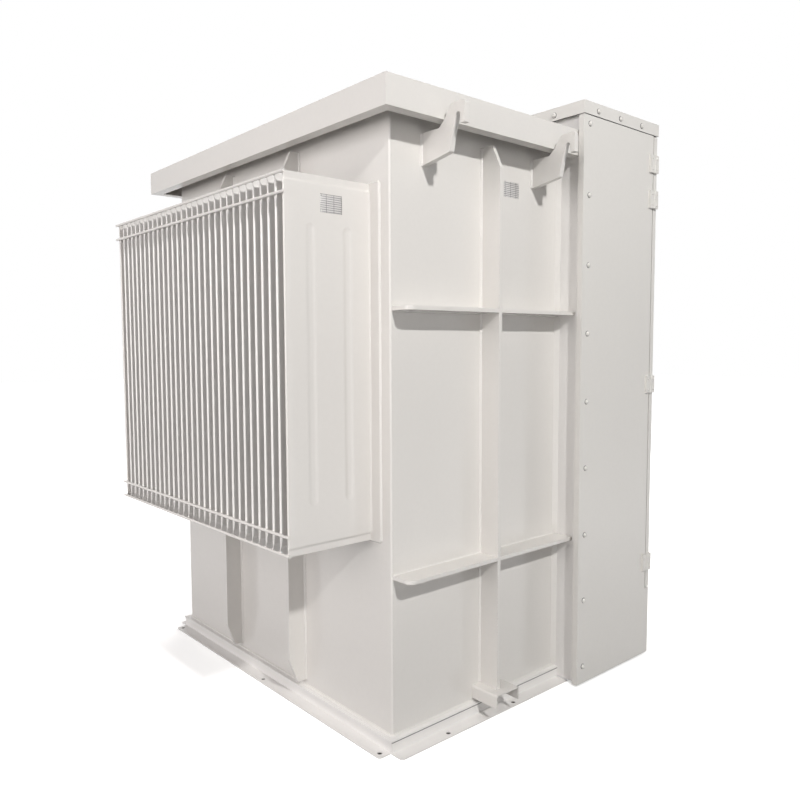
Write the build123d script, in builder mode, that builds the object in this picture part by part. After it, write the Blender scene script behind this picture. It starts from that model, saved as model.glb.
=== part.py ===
"""Pad-mounted oil transformer: a ribbed tank with a deep cap, a bank of cooling fins and a cable cabinet.

Millimetres. +Z is up. The doors face -Y, the cooling fins are at the rear (+Y), and left is -X as seen
by someone who stands in front of the doors. The origin is on the ground at the middle of the whole unit.
"""
from build123d import *
import os

# Tank
tank_width = 1560
tank_depth = 922
tank_wall = 8
tank_bend = 7
tank_below_roof = 114
floor_plate = 8
floor_top_z = 50
floor_ledge = 25

# Base rails of folded angle, with anchor holes
rail_leg = 53
rail_set_back = 3
rail_plate = 5
rail_corner = 12
anchor_hole = 18
anchor_inset = 23
side_anchor_first = 227
side_anchor_pitch = 365
rear_anchor_edge = 8

# Cap over the tank
cap_overhang = 107
cap_plate = 6
cap_skirt = 5
cap_depth = 100
cap_lip = 45

# Stiffeners and shelves of the tank walls
stiff_plate = 16
stiff_side_reach = 90
stiff_rear_reach = 78
stiff_side_y = 460
stiff_rear_first = 540
stiff_rear_pitch = 504
stiff_rear_foot_z = 74
stiff_rear_drop = 101
stiff_side_drop = 117
stiff_bevel = 38
stiff_bevel_height = 84
stiff_foot_bevel_height = 100
shelf_plate = 14
upper_shelf_z = 1542
lower_shelf_z = 612
shelf_start = 6
shelf_corner = 28

# Lifting hooks: distances out from the wall, and drops below the top of the tank
hook_plate = 22
hook_rear_y = 147
hook_pitch = 596
hook_foot_drop = 227
hook_foot_rise = 23
hook_elbow_drop = 166
hook_shoulder_drop = 117
hook_head_drop = 48
hook_arm_out = 134
hook_elbow_out = 141
hook_arm_round = 9
hook_tip_round = 14
hook_head_round = 28
hook_cap_gap = 3
hook_gullet = 25
hook_throat = 22
hook_tooth = 20
hook_reach = 203
hook_throat_drop = 83
hook_tooth_drop = 121

# Jacking brackets at the feet of the side stiffeners
jack_first = 409
jack_width = 130
jack_height = 50
jack_reach = 125
jack_plate = 5
jack_top_z = 112
jack_bend = 9

# Cooling fins
fin_count = 31
fin_pitch = 45
fin_plate = 10
fin_reach = 355
fin_foot_z = 736
fin_top_drop = 291
fin_seam = 3
fin_seam_height = 20
fin_taper = 9
fin_edge_flat = 1
fin_backing = 6
fin_backing_margin = 46
flute_width = 38
flute_depth = 2.5
flute_spacing = 151
flute_end_gap = 154
rod_diameter = 10
rod_overhang = 12
rod_edge_gap = 5
rod_step = 63

# Cable cabinet
cabinet_overhang = 138
cabinet_back_lap = 5
cabinet_recess = 22
cabinet_fold = 25
cabinet_depth = 545
cabinet_sheet = 3
cabinet_foot_z = 8
roof_top_z = 2381
roof_lip = 50
roof_proud = 4
jamb_width = 30
sill_top_z = 312
header_depth = 45

# Doors and hinges
door_depth = 25
door_gap = 5
door_fold = 3
hinge_height = 76
hinge_leaf = 10
hinge_leaf_width = 34
hinge_barrel = 13
hinge_barrel_gap = 0.5
hinge_leaf_gap = 0.7
hinge_pin = 6
hinge_slip = 0.08
hinge_split = 1
hinge_below_roof = (173, 326)
hinge_above_ground = (1246, 436)

# Door handle
handle_z = 1330
handle_from_edge = 70
handle_plate_width = 44
handle_plate_height = 190
handle_plate_depth = 6
handle_boss = 28
handle_boss_depth = 16
lever_length = 130
lever_width = 22
lever_depth = 12

# Worked-out places
rear_reach = fin_reach + rod_diameter
front_reach = (tank_depth - cabinet_back_lap - cabinet_recess + cabinet_depth
               + handle_plate_depth + handle_boss_depth + lever_depth)
rear_y = (front_reach - rear_reach) / 2
front_y = rear_y - tank_depth
back_y = front_y + cabinet_back_lap
panel_y = back_y + cabinet_recess
door_face_y = panel_y - cabinet_depth
half_tank = tank_width / 2
half_cap = half_tank + cap_overhang
half_cabinet = half_tank + cabinet_overhang
tank_top_z = roof_top_z - tank_below_roof
cap_top_z = tank_top_z + cap_plate
cap_foot_z = cap_top_z - cap_depth
half_bank = (fin_count - 1) * fin_pitch / 2 + fin_plate / 2
backing_y = rear_y + fin_backing
fin_top_z = tank_top_z - fin_top_drop
stiff_rear_top_z = tank_top_z - stiff_rear_drop
stiff_side_top_z = tank_top_z - stiff_side_drop
hook_foot_z = tank_top_z - hook_foot_drop
hook_elbow_z = tank_top_z - hook_elbow_drop
hook_shoulder_z = tank_top_z - hook_shoulder_drop
hook_head_z = tank_top_z - hook_head_drop
hook_throat_top_z = tank_top_z - hook_throat_drop
hook_tooth_z = tank_top_z - hook_tooth_drop
jamb_y = door_face_y + door_depth + door_gap
roof_foot_z = roof_top_z - roof_lip
door_foot_z = sill_top_z + door_gap
door_top_z = roof_foot_z - door_gap
hinge_heights = [roof_top_z - drop for drop in hinge_below_roof] + list(hinge_above_ground)
sides = (("left", -1), ("right", 1))


def save(part, name):
    """Label a finished piece and write it."""
    part.label = name
    export_step(part, f"parts/{name}.step")


def plate(x, y, z, mode=Mode.ADD):
    """Add a flat plate between two values of X, of Y and of Z to the open part."""
    with BuildSketch(Plane.XY.offset(min(z))) as outline:
        with Locations((sum(x) / 2, sum(y) / 2)):
            Rectangle(abs(x[1] - x[0]), abs(y[1] - y[0]))
    extrude(outline.sketch, amount=abs(z[1] - z[0]), mode=mode)


def profile(points, y, thickness):
    """Add a plate that stands across the unit: an outline of (x, z) points from y towards the front."""
    with BuildSketch(Plane.XZ.offset(-y)) as outline:
        with BuildLine():
            Polyline(*points, close=True)
        make_face()
    extrude(outline.sketch, amount=thickness, dir=(0, -1, 0))


def tray(x, z, back_y, face_y, sheet):
    """Add a folded sheet with its face at the front and a rim all round that turns back."""
    plate(x, (face_y, back_y), z)
    plate((min(x) + sheet, max(x) - sheet), (face_y + sheet, back_y),
          (min(z) + sheet, max(z) - sheet), Mode.SUBTRACT)


def stiffener_outline(wall, out, foot_z, top_z, foot_bevel_height, top_bevel_height):
    """Outline of a flat stiffener from the wall outwards, with its outer corners cut back."""
    step = stiff_bevel if out > wall else -stiff_bevel
    points = [(wall, foot_z)]
    if foot_bevel_height:
        points += [(out - step, foot_z), (out, foot_z + foot_bevel_height)]
    else:
        points += [(out, foot_z)]
    if top_bevel_height:
        points += [(out, top_z - top_bevel_height), (out - step, top_z)]
    else:
        points += [(out, top_z)]
    return points + [(wall, top_z)]


os.makedirs("parts", exist_ok=True)

# Tank: floor plate and four walls
with BuildPart() as tank_floor:
    half_ledge = half_tank + floor_ledge
    floor_z = (floor_top_z - floor_plate, floor_top_z)
    plate((-half_ledge, half_ledge), (back_y, rear_y + floor_ledge), floor_z)
    plate((-half_tank, half_tank), (front_y, back_y), floor_z)
save(tank_floor.part, "tank_floor")

wall_z = (floor_top_z, tank_top_z)
with BuildPart() as tank_rear_wall:
    plate((-half_tank, half_tank), (rear_y - tank_wall, rear_y), wall_z)
    fillet(tank_rear_wall.edges().filter_by(Axis.Z).group_by(Axis.Y)[-1], radius=tank_bend)
save(tank_rear_wall.part, "tank_rear_wall")

with BuildPart() as tank_front_wall:
    plate((-half_tank, half_tank), (front_y, front_y + tank_wall), wall_z)
save(tank_front_wall.part, "tank_front_wall")

for side_name, side in sides:
    with BuildPart() as tank_side_wall:
        plate((side * (half_tank - tank_wall), side * half_tank),
              (front_y + tank_wall, rear_y - tank_wall), wall_z)
    save(tank_side_wall.part, f"tank_{side_name}_wall")

# Cap: top sheet, skirt on three sides and a lip turned in under it
with BuildPart() as tank_cap:
    cap_rear_y = rear_y + cap_overhang
    plate((-half_cap, half_cap), (back_y, cap_rear_y), (cap_foot_z, cap_top_z))
    plate((-half_cap + cap_skirt, half_cap - cap_skirt), (back_y, cap_rear_y - cap_skirt),
          (cap_foot_z + cap_skirt, tank_top_z), Mode.SUBTRACT)
    plate((-half_cap + cap_lip, half_cap - cap_lip), (back_y, cap_rear_y - cap_lip),
          (cap_foot_z, cap_foot_z + cap_skirt), Mode.SUBTRACT)
save(tank_cap.part, "tank_cap")

# Base rails: an upright leg under the ledge and a flange on the ground
rail_top_z = floor_top_z - floor_plate
rail_out = half_tank + floor_ledge - rail_set_back
flange_out = rail_out + rail_leg
rail_rear_y = rear_y + floor_ledge - rail_set_back
for side_name, side in sides:
    with BuildPart() as base_rail:
        plate((side * (rail_out - rail_plate), side * rail_out),
              (back_y, rail_rear_y), (0, rail_top_z))
        with BuildSketch(Plane.XY) as flange:
            with Locations((side * (rail_out + rail_leg / 2), (back_y + rail_rear_y) / 2)):
                Rectangle(rail_leg, rail_rear_y - back_y)
            outer = flange.vertices().group_by(Axis.X)[-1 if side > 0 else 0]
            fillet(outer.sort_by(Axis.Y)[-1], radius=rail_corner)
            with Locations(*[(side * (flange_out - anchor_inset), rear_y - y)
                             for y in (side_anchor_first, side_anchor_first + side_anchor_pitch)]):
                Circle(anchor_hole / 2, mode=Mode.SUBTRACT)
        extrude(amount=rail_plate)
    save(base_rail.part, f"base_rail_{side_name}")

half_rear_rail = rail_out - rail_plate
with BuildPart() as base_rail_rear:
    plate((-half_rear_rail, half_rear_rail), (rail_rear_y - rail_plate, rail_rear_y), (0, rail_top_z))
    with BuildSketch(Plane.XY) as flange:
        with Locations((0, rail_rear_y + rail_leg / 2)):
            Rectangle(2 * half_rear_rail, rail_leg)
        fillet(flange.vertices().group_by(Axis.Y)[-1], radius=rail_corner)
        with Locations(*[(x, rail_rear_y + rail_leg - anchor_inset)
                         for x in (-half_tank + rear_anchor_edge, 0, half_tank - rear_anchor_edge)]):
            Circle(anchor_hole / 2, mode=Mode.SUBTRACT)
    extrude(amount=rail_plate)
save(base_rail_rear.part, "base_rail_rear")

with BuildPart() as base_rail_front:
    plate((-half_tank, half_tank), (front_y, front_y + rail_plate), (0, rail_top_z))
    plate((-half_tank, half_tank), (front_y - rail_leg, front_y + rail_plate), (0, rail_plate))
save(base_rail_front.part, "base_rail_front")

# Upright stiffeners of the side walls, each standing on its jacking bracket
stiff_y = rear_y - stiff_side_y
for side_name, side in sides:
    with BuildPart() as side_stiffener:
        profile(stiffener_outline(side * half_tank, side * (half_tank + stiff_side_reach),
                                  jack_top_z, stiff_side_top_z, 0, stiff_bevel_height),
                stiff_y + stiff_plate / 2, stiff_plate)
    save(side_stiffener.part, f"side_stiffener_{side_name}")

# Shelves across the side walls, each in two lengths that butt against the stiffener
for side_name, side in sides:
    with BuildPart() as side_shelves:
        for shelf_z in (lower_shelf_z, upper_shelf_z):
            for shelf_y in ((stiff_y + stiff_plate / 2, rear_y - shelf_start),
                            (back_y, stiff_y - stiff_plate / 2)):
                plate((side * half_tank, side * (half_tank + stiff_side_reach)), shelf_y,
                      (shelf_z, shelf_z + shelf_plate))
        free_ends = side_shelves.edges().filter_by(Axis.Z).group_by(Axis.Y)[-1]
        fillet(free_ends.group_by(Axis.X)[-1 if side > 0 else 0], radius=shelf_corner)
    save(side_shelves.part, f"side_shelves_{side_name}")

# Upright stiffeners of the rear wall, under and over the bank of fins
rear_stiffeners = (("lower", stiff_rear_foot_z, fin_foot_z, stiff_foot_bevel_height, 0),
                   ("upper", fin_top_z, stiff_rear_top_z, 0, stiff_bevel_height))
for name, foot_z, top_z, foot_bevel, top_bevel in rear_stiffeners:
    with BuildPart() as rear_stiffener:
        outline = stiffener_outline(rear_y, rear_y + stiff_rear_reach, foot_z, top_z, foot_bevel, top_bevel)
        for x in (stiff_rear_first, stiff_rear_first + stiff_rear_pitch):
            with BuildSketch(Plane.YZ.offset(x - half_tank - stiff_plate / 2)) as face:
                with BuildLine():
                    Polyline(*outline, close=True)
                make_face()
            extrude(face.sketch, amount=stiff_plate, dir=(1, 0, 0))
    save(rear_stiffener.part, f"rear_stiffeners_{name}")

# Jacking brackets: a bent channel, open at its foot and outer end
for side_name, side in sides:
    jack_y = rear_y - jack_first - jack_width / 2
    with BuildPart() as jacking_bracket:
        with BuildSketch(Plane.YZ.offset(side * half_tank)) as channel:
            with Locations((jack_y, jack_top_z - jack_height / 2)):
                Rectangle(jack_width, jack_height)
            fillet(channel.vertices().group_by(Axis.Y)[-1], radius=jack_bend)
            with Locations((jack_y, jack_top_z - jack_height / 2 - jack_plate)):
                Rectangle(jack_width - 2 * jack_plate, jack_height, mode=Mode.SUBTRACT)
        extrude(channel.sketch, amount=jack_reach, dir=(side, 0, 0))
    save(jacking_bracket.part, f"jacking_bracket_{side_name}")

# Lifting hooks: an arm that passes outside the cap, with a head that turns down over a throat
for side_name, side in sides:
    for place, hook_y in (("rear", rear_y - hook_rear_y), ("front", rear_y - hook_rear_y - hook_pitch)):
        throat_in = hook_reach - hook_tooth - hook_throat
        throat_mid = throat_in + hook_throat / 2
        throat_z = hook_throat_top_z - hook_throat / 2
        head_in = throat_in - hook_throat
        neck_out = half_cap + hook_cap_gap
        with BuildPart() as lifting_hook:
            with BuildSketch(Plane.XZ.offset(-hook_y)) as shape:
                with BuildLine():
                    FilletPolyline((side * half_tank, hook_foot_z),
                                   (side * (half_tank + hook_arm_out), hook_foot_z + hook_foot_rise),
                                   (side * (half_tank + hook_elbow_out), hook_elbow_z),
                                   (side * (half_tank + throat_in), throat_z), radius=hook_arm_round)
                    ThreePointArc((side * (half_tank + throat_in), throat_z),
                                  (side * (half_tank + throat_mid), hook_throat_top_z),
                                  (side * (half_tank + throat_in + hook_throat), throat_z))
                    Polyline((side * (half_tank + throat_in + hook_throat), throat_z),
                             (side * (half_tank + throat_in + hook_throat), hook_tooth_z),
                             (side * (half_tank + hook_reach), hook_tooth_z))
                    FilletPolyline((side * (half_tank + hook_reach), hook_tooth_z),
                                   (side * (half_tank + hook_reach), hook_head_z),
                                   (side * (half_tank + head_in), hook_head_z),
                                   (side * neck_out, cap_foot_z),
                                   (side * (neck_out - hook_gullet), hook_shoulder_z),
                                   (side * half_tank, hook_shoulder_z),
                                   radius=[hook_tip_round, hook_head_round, hook_arm_round, hook_arm_round])
                    Line((side * half_tank, hook_shoulder_z), (side * half_tank, hook_foot_z))
                make_face()
            extrude(shape.sketch, amount=hook_plate, dir=(0, -1, 0))
        save(lifting_hook.part, f"lifting_hook_{side_name}_{place}")

# Cooling fins on their backing plate
with BuildPart() as fin_backing_plate:
    half_backing = half_bank + fin_backing_margin
    plate((-half_backing, half_backing), (rear_y, backing_y), (fin_foot_z, fin_top_z))
save(fin_backing_plate.part, "fin_backing_plate")


# One fin: a hollow plate drawn solid, pinched to a seam at its foot and top, with flutes in both faces
seam_foot_z = fin_foot_z + fin_seam_height
seam_top_z = fin_top_z - fin_seam_height
fin_edge_round = (fin_plate - fin_edge_flat) / 2
with BuildPart() as cooling_fin:
    for z in (seam_foot_z, seam_foot_z + fin_taper, seam_top_z - fin_taper, seam_top_z):
        width = fin_seam if z in (seam_foot_z, seam_top_z) else fin_plate
        with BuildSketch(Plane.XY.offset(z)) as section:
            with Locations((0, rear_y + (fin_backing + fin_reach) / 2)):
                Rectangle(width, fin_reach - fin_backing)
            fillet(section.vertices().group_by(Axis.Y)[-1], radius=fin_edge_round * width / fin_plate)
    loft(ruled=True)
    for z in ((fin_foot_z, seam_foot_z), (seam_top_z, fin_top_z)):
        plate((-fin_seam / 2, fin_seam / 2), (backing_y, rear_y + fin_reach), z)
    for face in (-1, 1):
        with BuildSketch(Plane.YZ.offset(face * (fin_plate / 2 - flute_depth))) as flutes:
            with Locations(*[(rear_y + fin_reach / 2 + side * flute_spacing / 2, (fin_foot_z + fin_top_z) / 2)
                             for side in (-1, 1)]):
                SlotOverall(fin_top_z - fin_foot_z - 2 * flute_end_gap, flute_width, rotation=90)
        extrude(flutes.sketch, amount=flute_depth, dir=(face, 0, 0), mode=Mode.SUBTRACT)

fin_places = [((i - (fin_count - 1) / 2) * fin_pitch, 0, 0) for i in range(fin_count)]
for name, places in (("end_fin_left", fin_places[:1]), ("end_fin_right", fin_places[-1:]),
                     ("inner_fins", fin_places[1:-1])):
    with BuildPart() as fins:
        with Locations(*places):
            add(cooling_fin.part)
    save(fins.part, name)

# Tie rods along the outer edges of the fins
rod_y = rear_y + fin_reach + rod_diameter / 2
half_rod = half_bank + rod_overhang
for name, rod_z in (("upper", (fin_top_z - rod_edge_gap, fin_top_z - rod_edge_gap - rod_step)),
                    ("lower", (fin_foot_z + rod_edge_gap, fin_foot_z + rod_edge_gap + rod_step))):
    with BuildPart() as tie_rods:
        with BuildSketch(Plane.YZ.offset(-half_rod)) as ends:
            with Locations(*[(rod_y, z) for z in rod_z]):
                Circle(rod_diameter / 2)
        extrude(ends.sketch, amount=2 * half_rod, dir=(1, 0, 0))
    save(tie_rods.part, f"tie_rods_{name}")

# Cabinet: back strips beside and over the tank, side panels, roof, header and sill
roof_inside_z = roof_top_z - cabinet_sheet
inner_half = half_cabinet - cabinet_sheet
for side_name, side in sides:
    with BuildPart() as cabinet_back:
        plate((side * half_tank, side * inner_half), (back_y - cabinet_sheet, back_y),
              (cabinet_foot_z, roof_inside_z))
    save(cabinet_back.part, f"cabinet_back_{side_name}")

with BuildPart() as cabinet_back_top:
    plate((-half_tank, half_tank), (back_y - cabinet_sheet, back_y), (tank_top_z, roof_inside_z))
save(cabinet_back_top.part, "cabinet_back_top")

fold_in = half_cabinet - cabinet_fold
for side_name, side in sides:
    with BuildPart() as cabinet_side:
        plate((side * inner_half, side * half_cabinet), (jamb_y, panel_y), (cabinet_foot_z, roof_inside_z))
        plate((side * fold_in, side * inner_half), (panel_y - cabinet_sheet, panel_y),
              (cabinet_foot_z, roof_inside_z))
        plate((side * fold_in, side * (fold_in + cabinet_sheet)), (back_y, panel_y - cabinet_sheet),
              (cabinet_foot_z, roof_inside_z))
        plate((side * (inner_half - jamb_width), side * inner_half), (jamb_y, jamb_y + cabinet_sheet),
              (cabinet_foot_z, roof_inside_z))
    save(cabinet_side.part, f"cabinet_side_{side_name}")

with BuildPart() as cabinet_roof:
    roof_half = half_cabinet + roof_proud
    roof_y = (door_face_y - roof_proud, panel_y + roof_proud)
    plate((-roof_half, roof_half), roof_y, (roof_foot_z, roof_top_z))
    plate((-roof_half + cabinet_sheet, roof_half - cabinet_sheet),
          (roof_y[0] + cabinet_sheet, roof_y[1] - cabinet_sheet), (roof_foot_z, roof_inside_z), Mode.SUBTRACT)
save(cabinet_roof.part, "cabinet_roof")

with BuildPart() as cabinet_header:
    header_half = inner_half - jamb_width
    plate((-header_half, header_half), (jamb_y, jamb_y + cabinet_sheet),
          (roof_inside_z - header_depth, roof_inside_z))
    plate((-header_half, header_half), (jamb_y, jamb_y + jamb_width),
          (roof_inside_z - header_depth, roof_inside_z - header_depth + cabinet_sheet))
save(cabinet_header.part, "cabinet_header")

with BuildPart() as cabinet_sill:
    tray((-half_cabinet, half_cabinet), (cabinet_foot_z, sill_top_z), jamb_y, door_face_y, cabinet_sheet)
save(cabinet_sill.part, "cabinet_sill")

# Doors: folded trays that meet at the middle
for side_name, side in sides:
    with BuildPart() as door:
        tray((side * door_gap / 2, side * half_cabinet), (door_foot_z, door_top_z),
             door_face_y + door_depth, door_face_y, door_fold)
    save(door.part, f"door_{side_name}")

# Hinges: a leaf and lower knuckle with the pin on the cabinet, a leaf and upper knuckle on the door
hinge_y = (jamb_y + door_face_y + door_depth) / 2
hinge_stand_off = hinge_barrel / 2 + hinge_barrel_gap
leaf_start = hinge_barrel / 2 + hinge_leaf_gap
for side_name, side in sides:
    hinge_x = side * (half_cabinet + hinge_stand_off)
    leaf_x = (side * half_cabinet, side * (half_cabinet + hinge_leaf))
    web_x = (side * (half_cabinet + hinge_barrel_gap), side * (half_cabinet + hinge_leaf))
    with BuildPart() as fixed_hinges:
        for middle_z in hinge_heights:
            low_z = middle_z - hinge_height / 2
            split_z = middle_z - hinge_split
            plate(leaf_x, (hinge_y + leaf_start, hinge_y + hinge_leaf_width), (low_z, low_z + hinge_height))
            plate(web_x, (hinge_y, hinge_y + leaf_start), (low_z, split_z))
            with BuildSketch(Plane.XY.offset(low_z)) as knuckle:
                with Locations((hinge_x, hinge_y)):
                    Circle(hinge_barrel / 2)
            extrude(knuckle.sketch, amount=split_z - low_z)
            with BuildSketch(Plane.XY.offset(low_z)) as pin:
                with Locations((hinge_x, hinge_y)):
                    Circle(hinge_pin / 2)
            extrude(pin.sketch, amount=hinge_height)
    save(fixed_hinges.part, f"cabinet_hinges_{side_name}")
    with BuildPart() as moving_hinges:
        for middle_z in hinge_heights:
            high_z = middle_z + hinge_height / 2
            plate(leaf_x, (door_face_y, hinge_y - leaf_start), (high_z - hinge_height, high_z))
            plate(web_x, (hinge_y - leaf_start, hinge_y), (middle_z, high_z))
            with BuildSketch(Plane.XY.offset(middle_z)) as knuckle:
                with Locations((hinge_x, hinge_y)):
                    Circle(hinge_barrel / 2)
            extrude(knuckle.sketch, amount=hinge_height / 2)
            with BuildSketch(Plane.XY.offset(middle_z)) as bore:
                with Locations((hinge_x, hinge_y)):
                    Circle(hinge_pin / 2 + hinge_slip)
            extrude(bore.sketch, amount=hinge_height / 2, mode=Mode.SUBTRACT)
    save(moving_hinges.part, f"door_hinges_{side_name}")

# Handle on the right door
with BuildPart() as door_handle:
    handle_x = door_gap / 2 + handle_from_edge
    plate((handle_x - handle_plate_width / 2, handle_x + handle_plate_width / 2),
          (door_face_y - handle_plate_depth, door_face_y),
          (handle_z - handle_plate_height / 2, handle_z + handle_plate_height / 2))
    with BuildSketch(Plane.XZ.offset(-(door_face_y - handle_plate_depth))) as boss:
        with Locations((handle_x, handle_z)):
            Circle(handle_boss / 2)
    extrude(boss.sketch, amount=handle_boss_depth, dir=(0, -1, 0))
    lever_y = door_face_y - handle_plate_depth - handle_boss_depth
    plate((handle_x - lever_width / 2, handle_x + lever_width / 2), (lever_y - lever_depth, lever_y),
          (handle_z + handle_boss / 2 - lever_length, handle_z + handle_boss / 2))
save(door_handle.part, "door_handle")
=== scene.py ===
import math

import bmesh
import bpy
from bpy.props import FloatProperty, FloatVectorProperty, IntProperty, PointerProperty
from bpy.types import Operator, Panel, PropertyGroup
from mathutils import Matrix, Vector, noise


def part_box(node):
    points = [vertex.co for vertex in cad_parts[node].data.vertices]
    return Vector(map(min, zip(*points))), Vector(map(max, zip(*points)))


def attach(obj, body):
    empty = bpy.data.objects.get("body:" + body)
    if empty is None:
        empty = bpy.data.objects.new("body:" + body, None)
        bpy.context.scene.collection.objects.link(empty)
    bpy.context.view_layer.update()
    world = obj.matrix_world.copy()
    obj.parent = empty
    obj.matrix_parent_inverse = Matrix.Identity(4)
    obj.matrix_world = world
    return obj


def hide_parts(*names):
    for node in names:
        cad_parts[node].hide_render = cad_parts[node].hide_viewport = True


bl_info = {
    "name": "Pad-mounted Transformer",
    "version": (1, 0, 0),
    "blender": (4, 5, 0),
    "location": "View3D > Sidebar > Transformer",
    "description": "Dresses a pad-mounted oil transformer with enamel, welds, screws, seals and labels",
    "category": "Object",
}

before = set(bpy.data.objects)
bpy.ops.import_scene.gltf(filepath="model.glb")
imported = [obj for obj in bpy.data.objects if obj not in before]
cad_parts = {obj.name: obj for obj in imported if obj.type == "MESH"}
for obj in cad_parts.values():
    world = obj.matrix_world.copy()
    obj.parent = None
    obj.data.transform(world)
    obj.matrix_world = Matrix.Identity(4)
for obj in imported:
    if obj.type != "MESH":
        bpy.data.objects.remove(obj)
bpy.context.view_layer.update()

UNIT = "unit"
DOORS = {-1: "left_door", 1: "right_door"}
SIDES = (("left", -1), ("right", 1))
OUTWARD = {-1: Vector((-1, 0, 0)), 1: Vector((1, 0, 0))}
REAR, FRONT, UP, DOWN = Vector((0, 1, 0)), Vector((0, -1, 0)), Vector((0, 0, 1)), Vector((0, 0, -1))


def low(node):
    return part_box(node)[0]


def high(node):
    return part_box(node)[1]


# Places on the frame
WALL_X = high("tank_rear_wall").x
REAR_Y = high("tank_rear_wall").y
LEDGE_Z = high("tank_floor").z
CABINET_BACK_Y = low("tank_cap").y
PANEL_X, PANEL_REAR_Y = high("cabinet_side_right").x, high("cabinet_side_right").y
DOOR_FACE_Y = low("door_left").y

# Sizes of the frame that no node's box gives, in metres
STIFFENER_PLATE = 0.016
SHELF_PLATE = 0.014
FLOOR_PLATE = 0.008
DOOR_SHEET = 0.003
ROOF_LIP = 0.050
HOOK_SHOULDER_Z = 2.150
HINGE_HEIGHTS = (2.208, 2.055, 1.246, 0.436)
HINGE_LEAF = 0.010

# Cooling fins in the row on the rear wall
FIN_COUNT = 31

# Cross-sections in legs, from the root of the corner along one plate and round to the other
BEAD = ((-0.10, -0.10), (1.00, -0.06), (0.90, 0.34), (0.60, 0.60), (0.34, 0.90), (-0.06, 1.00))
CAULK = ((-0.10, -0.10), (1.00, -0.04), (0.72, 0.24), (0.50, 0.46), (0.26, 0.70), (-0.04, 1.00))

# How far a turned form reaches into the surface that it sits on
ROOT = 0.001

# Height at which the dust from the ground has run out
DUST_TOP = 0.55


# ---------------------------------------------------------------- settings

def colour_property(name, description, default):
    return FloatVectorProperty(name=name, description=description, subtype="COLOR", size=3,
                               min=0, max=1, default=default)


def length_property(name, description, default, largest=0.5):
    return FloatProperty(name=name, description=description, subtype="DISTANCE", unit="LENGTH",
                         min=0, max=largest, precision=4, default=default)


class PaintSettings(PropertyGroup):
    """Colours and surface of the enamel and the small fittings"""
    tank: colour_property("Tank", "Enamel on the tank, cap, hooks and rails", (0.735, 0.716, 0.690))
    fins: colour_property("Fins", "Enamel on the outer cooling fins and the rods", (0.740, 0.718, 0.692))
    # Painted light: a lighter copy of the enamel that brightens surfaces lying in shade, between the fins, on
    # the cabinet's back plates in the fold's shadow, and on the base
    painted_light: colour_property("Painted light coat", "Enamel between the fins, behind the cabinet and on the base",
                           (0.840, 0.825, 0.810))
    cabinet: colour_property("Cabinet", "Enamel on the cabinet and its doors", (0.728, 0.712, 0.684))
    dust: colour_property("Dust", "Fine dust that settles near the ground", (0.60, 0.575, 0.535))
    # Also the colour of the dark strips of painted shade in the joints
    rubber: colour_property("Rubber", "Seals and gaskets", (0.035, 0.035, 0.037))
    metal: colour_property("Metal", "Bare label plates", (0.66, 0.645, 0.64))
    gloss: FloatProperty(name="Roughness", description="Mean roughness of the enamel",
                         min=0.05, max=1, default=0.16)
    peel: length_property("Orange peel", "Height of the fine ripple that spraying leaves", 0.00005, 0.002)
    waviness: length_property("Sheet waviness", "Height of the slow waves in large sheets", 0.0010, 0.05)


class WeldSettings(PropertyGroup):
    """Fillet welds"""
    leg: length_property("Leg", "Leg of the welds on walls", 0.0065)
    thin_leg: length_property("Thin leg", "Leg of the welds on fins and rods", 0.0042)
    pitch: length_property("Ripple pitch", "Distance between two ripples along a weld", 0.0085)


class FastenerSettings(PropertyGroup):
    """Screws of the cabinet and its hinges"""
    head: length_property("Panel screw head", "Diameter of the dome heads on the cabinet", 0.0170)
    # The dark rubber washers also stand in for the shadow crescent under each head: partly painted shade
    washer: length_property("Sealing washer", "Diameter of the rubber washers under the dome heads", 0.0225)
    hinge_head: length_property("Hinge screw head", "Diameter of the screws in the hinge leaves", 0.0085)
    facets: IntProperty(name="Facets", description="Sides of each round head", min=8, max=64, default=20)


class LabelSettings(PropertyGroup):
    """Blank label plates"""
    width: length_property("Width", "Width of a label plate", 0.088)
    height: length_property("Height", "Height of a label plate", 0.060)
    thickness: length_property("Thickness", "Thickness of a label plate", 0.0012)
    row: length_property("Row", "Height of one ruled row", 0.0070)


class StageSettings(PropertyGroup):
    """Lamps, floor and backdrop"""
    key: FloatProperty(name="Key", description="Power of the lamp that casts the crisp shadows",
                       unit="POWER", min=0, default=1180)
    key_size: length_property("Key size", "Radius of the key lamp", 0.16, 2)
    rear: FloatProperty(name="Rear fill", description="Power of the wide lamp behind the fins",
                        unit="POWER", min=0, default=170)
    front: FloatProperty(name="Front fill", description="Power of the wide lamp in front of the doors",
                         unit="POWER", min=0, default=330)
    sky: FloatProperty(name="Sky", description="Light from above and around", min=0, default=0.08)
    ground: FloatProperty(name="Ground light", description="Light from below the horizon",
                          min=0, default=2.60)
    floor_bounce: FloatProperty(name="Floor bounce", description="Share of light the floor sends up",
                                min=0, max=1, default=0.30)


# ---------------------------------------------------------------- materials

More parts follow.
